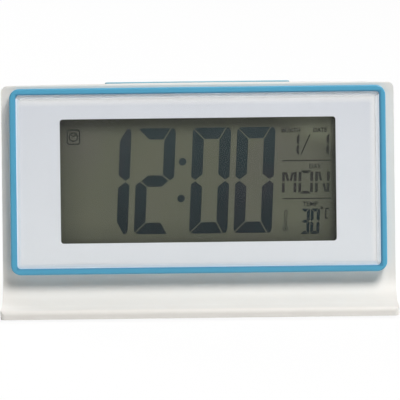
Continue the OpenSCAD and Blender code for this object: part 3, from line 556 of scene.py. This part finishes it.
def ring(bm, points, n, to=panel):
    """Vertices at the points of an outline, all at one height."""
    return [bm.verts.new(to(x, v, n)) for x, v in points]


def skirt(bm, a, b, material=0):
    """A wall between two rings with as many points each."""
    faces = []
    for i in range(len(a)):
        j = (i + 1) % len(a)
        f = bm.faces.new((a[i], a[j], b[j], b[i]))
        f.material_index = material
        faces.append(f)
    return faces


def prism(bm, points, low, high, to):
    """A flat solid between two heights, from its outline."""
    a, b = ring(bm, points, low, to), ring(bm, points, high, to)
    skirt(bm, a, b)
    for loop in (a, b):
        bm.faces.new(loop)


def hoop(bm, outer, inner, low, high, to):
    """A flat ring between two outlines with as many points each."""
    (a0, a1), (b0, b1) = [[ring(bm, outline, n, to) for n in (low, high)] for outline in (outer, inner)]
    for start, end in ((a0, a1), (a1, b1), (b1, b0), (b0, a0)):
        skirt(bm, start, end)


# Lens and print

LENS_FINISHES_AND_PAINTED_LIGHT = ["lens", "lens_edge", "lens_right_edge_painted_light", "lens_lower_left_edge_painted_light"]


def make_lens():
    """The clear lens. Its bevel has a denser veil than its face, and on the right, left and below that veil
    is painted light.
    """
    bm = bmesh.new()
    outlines = ((0, LENS_BACK, LENS_R), (0, LENS_FRONT - BEVEL_D, LENS_R), (BEVEL_W, LENS_FRONT, LENS_R / 3))
    back, side, face = [ring(bm, round_outline(LENS_W - 2 * inset, LENS_H - 2 * inset, r), n)
                        for inset, n, r in outlines]
    for f in skirt(bm, back, side) + skirt(bm, side, face):
        # The frame shades the upper bevel, and the others are paler with painted light, most on the left and
        # below
        spot = (f.calc_center_median() - panel(0, 0)) / MM
        at_top = LENS_H / 2 - spot.dot(FACE_UP) < BEVEL_W
        at_right = LENS_W / 2 - spot.x < BEVEL_W
        finish = "lens_edge" if at_top else "lens_right_edge_painted_light" if at_right else "lens_lower_left_edge_painted_light"
        f.material_index = LENS_FINISHES_AND_PAINTED_LIGHT.index(finish)
    bm.faces.new(back)
    bm.faces.new(face)
    lens = piece("lens_clear_panel", bm, LENS_FINISHES_AND_PAINTED_LIGHT, angle=12)
    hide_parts("display_lens")


def make_print():
    """The white print with its round-cornered window."""
    bm = bmesh.new()
    hoop(bm, round_outline(LENS_W, LENS_H, LENS_R), round_outline(WINDOW_W, WINDOW_H, WINDOW_R),
         PRINT_BACK, PRINT_FRONT, panel)
    sheet = piece("lens_print_sheet", bm, ["print"], angle=12)
    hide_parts("lens_print")


# The display's characters lie on its front film, and are laid out from their own sizes in millimetres.
# Their places were measured as seen from the camera, on a plane a little further back, so film brings
# them nearer to the middle
FILM_FACE = 1.4
INK = (FILM_FACE - 0.01, FILM_FACE + 0.03)
FILM_SHARE = 0.99567
FILM_X, FILM_V = 0.43, -7.4
MEASURED_X, MEASURED_V = 0.7, -7.495
SLANT = tan(radians(2.9))


def film(x, v, n):
    """A place on the display's film, from where it was measured."""
    return panel(FILM_X + (x - MEASURED_X) * FILM_SHARE, FILM_V + (v - MEASURED_V) * FILM_SHARE, n)


def slanted(x0, v0, lean=SLANT):
    """Places of one character: x and v from its middle, leaned as the display's characters are."""
    return lambda x, v, n: film(x0 + x + (v0 + v) * lean, v0 + v, n)


# Shares of the stroke's width in the segments: the round corner at the upper left, which a and f share,
# the one at the upper right, and the slanted ends of the strokes
LEFT_CORNER_SHARES = ((0.36, 0), (0.18, 0.03), (0.1, 0.1), (0.03, 0.18), (0, 0.36))
RIGHT_CORNER_SHARES = ((0.28, 0), (0.1, 0.1), (0, 0.4))
TIP_SHARE, END_SHARE, OUTER_END_SHARE, WEDGE_SHARE = 0.37, 0.42, 0.33, 1.06
CORNER_GAP_SHARE = 1.7


def seven(w, h, t, gap):
    """The seven segments of a digit, w by h, with strokes t wide and a gap between strokes."""
    side, top, k = w / 2, h / 2, gap / 2
    tip, end, outer_end, wedge = TIP_SHARE * t, END_SHARE * t, OUTER_END_SHARE * t, WEDGE_SHARE * t
    left = [(x * t - side, top - v * t) for x, v in LEFT_CORNER_SHARES]
    right = [(side - x * t, top - v * t) for x, v in RIGHT_CORNER_SHARES]
    # Strokes meet at the corners along slanted gaps
    a = [(x + k, v) for x, v in reversed(left[:3])]
    a += [(side - end - k, top), (side - t - k, top - t), (k + t - side, top - t)]
    b = [(side - end + k, top)] + right
    b += [(side, outer_end), (side - tip, k), (side - t, t / 2 + k)]
    b += [(side - t, top - t - CORNER_GAP_SHARE * k)]
    f = [(x, v - k) for x, v in reversed(left[2:])]
    f += [(t - side, top - t - k), (t - side, t / 2 + k), (tip - side, k), (-side, outer_end)]
    g = [(t / 2 - side, 0), (wedge - side, t / 2), (side - wedge, t / 2)]
    g += [(-x, -v) for x, v in g]
    return {"a": a, "b": b, "f": f, "g": g, "c": [(x, -v) for x, v in b], "d": [(x, -v) for x, v in a],
            "e": [(x, -v) for x, v in f]}


LIT_SEGMENTS = {"0": "abcdef", "1": "bc", "2": "abged", "3": "abgcd"}


def put_digit(bm, figure, x, v, w, h, t, gap):
    """One digit, as the segments that are lit for it."""
    shapes = seven(w, h, t, gap)
    for s in LIT_SEGMENTS[figure]:
        prism(bm, shapes[s], *INK, slanted(x, v))


DIGIT_W, DIGIT_H, DIGIT_T, DIGIT_GAP = 14.3, 39.5, 4.25, 0.45
DIGIT_XS, DIGIT_V = (-32.45, -15.9, 4.72, 21.26), -0.25
COLON_X, COLON_RISE, COLON_R = -5.84, 6.85, 1.42


def make_time():
    bm = bmesh.new()
    for figure, x in zip("1200", DIGIT_XS):
        put_digit(bm, figure, x, DIGIT_V, DIGIT_W, DIGIT_H, DIGIT_T, DIGIT_GAP)
    for side in (1, -1):
        prism(bm, disc(COLON_R, 0, side * COLON_RISE), *INK, slanted(COLON_X, 0))
    piece("display_time_segments", bm, ["segment"], smooth=False)


# The right-hand column: date, weekday and temperature, with rules between them. Here and below, a
# single stroke is given as its two ends and its width
COLUMN_LEFT, COLUMN_RIGHT, RULE_T = 31.6, 49.7, 0.42
RULE_VS = (6.78, -7.38)
DATE_XS, DATE_V = (35.25, 46.35), 12.75
DATE_W, DATE_H, DATE_T, DATE_GAP = 4.4, 8.0, 1.0, 0.36
DATE_STROKE = (38.7, 9.05, 42.15, 16.5, 0.5)
LETTER_XS, LETTER_V, LETTER_LEAN = (34.25, 40.4, 46.6), -1.25, 0.035
LETTER_W, LETTER_H, LETTER_T = 5.4, 8.7, 1.05
HEAT_XS, HEAT_V = (40.75, 44.45), -15.9
HEAT_W, HEAT_H, HEAT_T, HEAT_GAP = 3.4, 9.5, 1.15, 0.24

# How far a letter's strokes stay off the middle of its field and off the field's corners
UPRIGHT_OFF, UPRIGHT_END, CAP_END = 0.32, 0.55, 0.7
SLANTED_OFF, SLANTED_IN, SLANTED_T_SHARE = 0.5, 0.9, 0.85


def letter_strokes(letter):
    """Strokes of one weekday letter on a fourteen-segment field."""
    w, h, t = LETTER_W / 2, LETTER_H / 2, LETTER_T
    inner, thin = w - t / 2, t * SLANTED_T_SHARE
    cap, end_x, end_v = w - CAP_END, inner - SLANTED_IN, h - CAP_END
    uprights = [bar(s * inner, r * UPRIGHT_OFF, s * inner, r * (h - UPRIGHT_END), t)
                for s in (-1, 1) for r in (-1, 1)]
    caps = [[(-cap, r * h), (cap, r * h), (cap - t, r * (h - t)), (t - cap, r * (h - t))] for r in (-1, 1)]
    rise = bar(-end_x, end_v, -SLANTED_OFF, SLANTED_OFF, thin)
    fall = bar(end_x, end_v, SLANTED_OFF, SLANTED_OFF, thin)
    foot = bar(SLANTED_OFF, -SLANTED_OFF, end_x, -end_v, thin)
    return {"M": uprights + [rise, fall], "O": uprights + caps, "N": uprights + [rise, foot]}[letter]


def make_column():
    bm = bmesh.new()
    for v in RULE_VS:
        prism(bm, bar(COLUMN_LEFT, v, COLUMN_RIGHT, v, RULE_T), *INK, film)
    # Month and date, each a one, with a stroke between them
    for x in DATE_XS:
        put_digit(bm, "1", x, DATE_V, DATE_W, DATE_H, DATE_T, DATE_GAP)
    prism(bm, bar(*DATE_STROKE), *INK, film)
    for letter, x in zip("MON", LETTER_XS):
        for stroke in letter_strokes(letter):
            prism(bm, stroke, *INK, slanted(x, LETTER_V, LETTER_LEAN))
    piece("display_day_segments", bm, ["segment_small"], smooth=False)
    bm = bmesh.new()
    for figure, x in zip("30", HEAT_XS):
        put_digit(bm, figure, x, HEAT_V, HEAT_W, HEAT_H, HEAT_T, HEAT_GAP)
    piece("display_heat_segments", bm, ["segment"], smooth=False)


ICON_X, ICON_V, ICON_W, ICON_H, ICON_T = -46.1, 16.5, 5.15, 5.85, 0.56
ICON_R, ICON_INNER_R, ICON_DIAL_R = 1.0, 0.6, 1.82
ICON_HANDS = ((0, 0.1, -0.85, 0.85, 0.42), (0, 0.1, 0.85, 0.85, 0.42))


def put_icon(bm):
    """The alarm's sign: a dial in a box."""
    at = lambda x, v, n: film(ICON_X + x, ICON_V + v, n)
    box = round_outline(ICON_W, ICON_H, ICON_R, 4)
    hole = round_outline(ICON_W - 2 * ICON_T, ICON_H - 2 * ICON_T, ICON_INNER_R, 4)
    hoop(bm, box, hole, *INK, at)
    hoop(bm, disc(ICON_DIAL_R), disc(ICON_DIAL_R - ICON_T), *INK, at)
    for hand in ICON_HANDS:
        prism(bm, bar(*hand), *INK, at)


THERMO_X, THERMO_LINE = 32.65, 0.3
TUBE_R, TUBE_TOP, BULB_R, BULB_V = 0.4, 4.2, 0.88, -2.6
# The bulb's arc, open where the tube goes in
BULB_FIRST, BULB_SWEEP = radians(121), radians(298)
MERCURY_R, THREAD = 0.4, (0, -2.3, 0, 1.4, 0.2)


def thermometer_outline(grow):
    """The thermometer's outline, moved outwards by grow."""
    tube = arc(TUBE_R + grow, 0, TUBE_TOP - TUBE_R, 0, pi, 8)
    return tube + arc(BULB_R + grow, 0, BULB_V, BULB_FIRST, BULB_SWEEP, 20)


def put_thermometer(bm):
    """A tube with a bulb, and a thread in it."""
    at = lambda x, v, n: film(THERMO_X + x + v * SLANT, HEAT_V + v, n)
    hoop(bm, thermometer_outline(THERMO_LINE / 2), thermometer_outline(-THERMO_LINE / 2), *INK, at)
    prism(bm, disc(MERCURY_R, 0, BULB_V, 12), *INK, at)
    prism(bm, bar(*THREAD), *INK, at)


DEGREE_X, DEGREE_V, DEGREE_R, DEGREE_HOLE_R = 46.75, -10.95, 0.56, 0.14
# The letter C, as one upright with two short arms
DEGREE_LETTER = ((47.8, -11.1, 47.5, -15.0, 0.56), (47.9, -11.15, 48.95, -11.25, 0.56),
                 (47.4, -14.9, 48.5, -14.8, 0.56))


def put_degrees(bm):
    """The degree sign and its letter."""
    at = slanted(DEGREE_X, DEGREE_V)
    hoop(bm, disc(DEGREE_R, steps=16), disc(DEGREE_HOLE_R, steps=16), *INK, at)
    for stroke in DEGREE_LETTER:
        prism(bm, bar(*stroke), *INK, film)


def make_signs():
    bm = bmesh.new()
    put_icon(bm)
    put_thermometer(bm)
    put_degrees(bm)
    piece("display_signs", bm, ["segment_small"], smooth=False)


# Each small word, with its left and right ends, the height of its middle and its size
WORDS = (("MONTH", 31.7, 38.5, 18.15, 1.7), ("DATE", 43.45, 48.5, 18.15, 1.7), ("DAY", 41.8, 46.2, 4.65, 1.7),
         ("TEMP", 39.1, 44.85, -9.4, 1.75))
WORD_WEIGHT, WORD_T = 0.024, 0.02


def make_words():
    """The small generic words of the display, each fitted between its left and right ends."""
    joined = bmesh.new()
    for word, left, right, v, height in WORDS:
        curve = bpy.data.curves.new(word, "FONT")
        curve.body = word
        curve.resolution_u = 3
        curve.offset = WORD_WEIGHT
        text = bpy.data.objects.new(word, curve)
        bpy.context.scene.collection.objects.link(text)
        dg = bpy.context.evaluated_depsgraph_get()
        mesh = bpy.data.meshes.new_from_object(text.evaluated_get(dg))
        xs = [p.co.x for p in mesh.vertices]
        ys = [p.co.y for p in mesh.vertices]
        stretch_x = (right - left) / (max(xs) - min(xs))
        stretch_y = height / (max(ys) - min(ys))
        for p in mesh.vertices:
            x = left + (p.co.x - min(xs)) * stretch_x
            y = v - height / 2 + (p.co.y - min(ys)) * stretch_y
            p.co = film(x + (y - v) * SLANT, y, INK[1])
        joined.from_mesh(mesh)
        bpy.data.objects.remove(text)
        bpy.data.meshes.remove(mesh)
    bmesh.ops.solidify(joined, geom=joined.faces[:], thickness=WORD_T * MM)
    piece("display_words", joined, ["segment_small"], smooth=False)


# Rear screws, with a cross recess. Depths run in from the cover's outside
SCREW_XS = (-68.4, 68.4)
HEAD_R, HEAD_TOP_R, HEAD_TOP, HEAD_ROLL, HEAD_BASE = 2.5, 2.2, 0.02, 0.25, 1.2
CROSS_ARM, CROSS_T, CROSS_DEEP, CROSS_FLOOR_SHARE = 1.45, 0.55, 0.75, 0.8
SHANK_R, SHANK_END = 1.25, 11.0
SCREW_FINISHES = ["steel", "recess"]
RECESS = SCREW_FINISHES.index("recess")


def cross_outline():
    """Corners of the cross recess, arm by arm."""
    points = []
    for k in range(4):
        a = pi / 2 * k
        for x, y in ((CROSS_ARM, -CROSS_T / 2), (CROSS_ARM, CROSS_T / 2), (CROSS_T / 2, CROSS_T / 2)):
            points.append((x * cos(a) - y * sin(a), x * sin(a) + y * cos(a)))
    return points


def closed_edges(bm, loop):
    """The edges round a ring of vertices."""
    return [bm.edges.get(pair) for pair in zip(loop, loop[1:] + loop[:1])]


def put_screw(bm, x, z):
    at = lambda px, py, depth: Vector(((x + px) * MM, BACK_Y - depth * MM, (z + py) * MM))
    rim, top, base = [ring(bm, disc(r, steps=36), depth, at)
                      for r, depth in ((HEAD_R, HEAD_ROLL), (HEAD_TOP_R, HEAD_TOP), (HEAD_R, HEAD_BASE))]
    skirt(bm, base, rim)
    skirt(bm, rim, top)
    bm.faces.new(base)
    cross = cross_outline()
    edge = ring(bm, cross, HEAD_TOP, at)
    floor = ring(bm, [(px * CROSS_FLOOR_SHARE, py * CROSS_FLOOR_SHARE) for px, py in cross], CROSS_DEEP, at)
    skirt(bm, edge, floor, RECESS)
    bm.faces.new(floor).material_index = RECESS
    bmesh.ops.triangle_fill(bm, use_beauty=True, use_dissolve=False,
                            edges=closed_edges(bm, top) + closed_edges(bm, edge))
    start, end = [ring(bm, disc(SHANK_R, steps=20), depth, at) for depth in (HEAD_BASE, SHANK_END)]
    skirt(bm, start, end)
    bm.faces.new(end)
    bm.faces.new(start)


def make_rear_screws():
    low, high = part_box("cover_screws")
    bm = bmesh.new()
    for x in SCREW_XS:
        for z in (low.z / MM + HEAD_R, high.z / MM - HEAD_R):
            put_screw(bm, x, z)
    screws = piece("rear_cross_screws", bm, SCREW_FINISHES, angle=25)
    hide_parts("cover_screws")


# Cells, with a plain sleeve, a band at the plus end and bare ends
CELL_COUNT, CELL_R, CELL_LEN, CELL_PITCH = 3, 5.25, 44.5, 11.25
NUB_R, NUB_H = 1.9, 0.8
BAND_START, BAND_END = NUB_H + 0.5, NUB_H + 9.5
SLEEVE_END = CELL_LEN - 0.5
ROLL_R, SHOULDER_R, END_R = CELL_R - 0.25, CELL_R - 1.2, CELL_R - 0.9
CELL_FINISHES = ["sleeve", "band", "cell_end"]
SLEEVE, BAND, BARE = range(len(CELL_FINISHES))
# Radius, distance from the plus end, and the finish from there on
CELL_PROFILE = ((NUB_R, 0, BARE), (NUB_R, NUB_H, BARE), (SHOULDER_R, NUB_H + 0.02, BARE),
                (ROLL_R, NUB_H + 0.15, SLEEVE), (CELL_R, BAND_START, BAND), (CELL_R, BAND_END, SLEEVE),
                (CELL_R, SLEEVE_END, SLEEVE), (ROLL_R, CELL_LEN - 0.1, BARE), (END_R, CELL_LEN, BARE))


def make_cells():
    low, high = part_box("battery_cells")
    mid_y = (low.y + high.y) / 2
    bm = bmesh.new()
    for i in range(CELL_COUNT):
        z = low.z + (CELL_R + i * CELL_PITCH) * MM
        # The plus ends lie left and right by turns
        way = 1 if i % 2 == 0 else -1
        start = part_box("battery_cells")[0].x if way == 1 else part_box("battery_cells")[1].x
        at = lambda y, up, s: Vector((start + way * s * MM, mid_y + y * MM, z + up * MM))
        rings = [ring(bm, disc(r, steps=48), s, at) for r, s, _ in CELL_PROFILE]
        bm.faces.new(rings[0]).material_index = BARE
        bm.faces.new(rings[-1]).material_index = BARE
        for (_, _, finish), near_ring, far_ring in zip(CELL_PROFILE, rings, rings[1:]):
            skirt(bm, near_ring, far_ring, finish)
    cells = piece("sleeved_cells", bm, CELL_FINISHES, angle=35)
    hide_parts("battery_cells")


# Stage and light

FLOOR_REACH = 4
FLOOR_MATT, FLOOR_GLOW_SHARE = 0.97, 0.92


def floor_material():
    """A white floor: nearly all glow where it is seen, and matt where it lights the clock or takes shadow."""
    mat = bpy.data.materials.new("floor_white")
    mat.use_nodes = True
    tree = mat.node_tree
    tree.nodes.clear()
    out = tree.nodes.new("ShaderNodeOutputMaterial")
    glow = tree.nodes.new("ShaderNodeEmission")
    glow.inputs["Color"].default_value = (1, 1, 1, 1)
    matt = tree.nodes.new("ShaderNodeBsdfDiffuse")
    matt.inputs["Color"].default_value = (FLOOR_MATT, FLOOR_MATT, FLOOR_MATT, 1)
    mix = tree.nodes.new("ShaderNodeMixShader")
    tree.links.new(work_out(tree, "MULTIPLY", seen(tree), FLOOR_GLOW_SHARE), mix.inputs["Fac"])
    tree.links.new(matt.outputs["BSDF"], mix.inputs[1])
    tree.links.new(glow.outputs["Emission"], mix.inputs[2])
    tree.links.new(mix.outputs["Shader"], out.inputs["Surface"])
    return mat


def make_stage():
    mesh = bpy.data.meshes.new("floor")
    bm = bmesh.new()
    bmesh.ops.create_grid(bm, x_segments=8, y_segments=8, size=FLOOR_REACH)
    bm.to_mesh(mesh)
    bm.free()
    floor = bpy.data.objects.new("floor", mesh)
    bpy.context.scene.collection.objects.link(floor)
    mesh.materials.append(floor_material())


FILL_STRENGTH = 0.09


def make_world():
    """White where it is seen, and a weak cool fill where it lights the clock."""
    world = bpy.data.worlds.new("world")
    bpy.context.scene.world = world
    world.use_nodes = True
    tree = world.node_tree
    tree.nodes.clear()
    out = tree.nodes.new("ShaderNodeOutputWorld")
    white = tree.nodes.new("ShaderNodeBackground")
    white.inputs["Color"].default_value = (1, 1, 1, 1)
    white.inputs["Strength"].default_value = 1.0
    fill = tree.nodes.new("ShaderNodeBackground")
    fill.inputs["Color"].default_value = (0.95, 0.98, 1, 1)
    fill.inputs["Strength"].default_value = FILL_STRENGTH
    mix = tree.nodes.new("ShaderNodeMixShader")
    tree.links.new(seen(tree), mix.inputs["Fac"])
    tree.links.new(fill.outputs["Background"], mix.inputs[1])
    tree.links.new(white.outputs["Background"], mix.inputs[2])
    tree.links.new(mix.outputs["Shader"], out.inputs["Surface"])


LAMP_AIM = Vector((0, 0, 0.04))


def area(name, place_at, size, power, colour):
    data = bpy.data.lights.new(name, "AREA")
    data.shape = "DISK"
    data.size = size
    data.energy = power
    data.color = colour
    lamp = bpy.data.objects.new(name, data)
    bpy.context.scene.collection.objects.link(lamp)
    lamp.location = place_at
    lamp.rotation_mode = "QUATERNION"
    lamp.rotation_quaternion = (LAMP_AIM - Vector(place_at)).to_track_quat("-Z", "Y")


def make_lights():
    area("key", (1.02, -0.78, 2.33), 1.5, 71.0, (1.0, 0.99, 0.975))
    area("rear_fill", (-0.8, 1.2, 0.8), 0.9, 8.0, (1, 1, 1))


make_camera()
make_lens()
make_print()
make_time()
make_column()
make_signs()
make_words()
make_rear_screws()
make_cells()
make_stage()
make_world()
make_lights()
bpy.context.scene.view_settings.view_transform = "Standard"
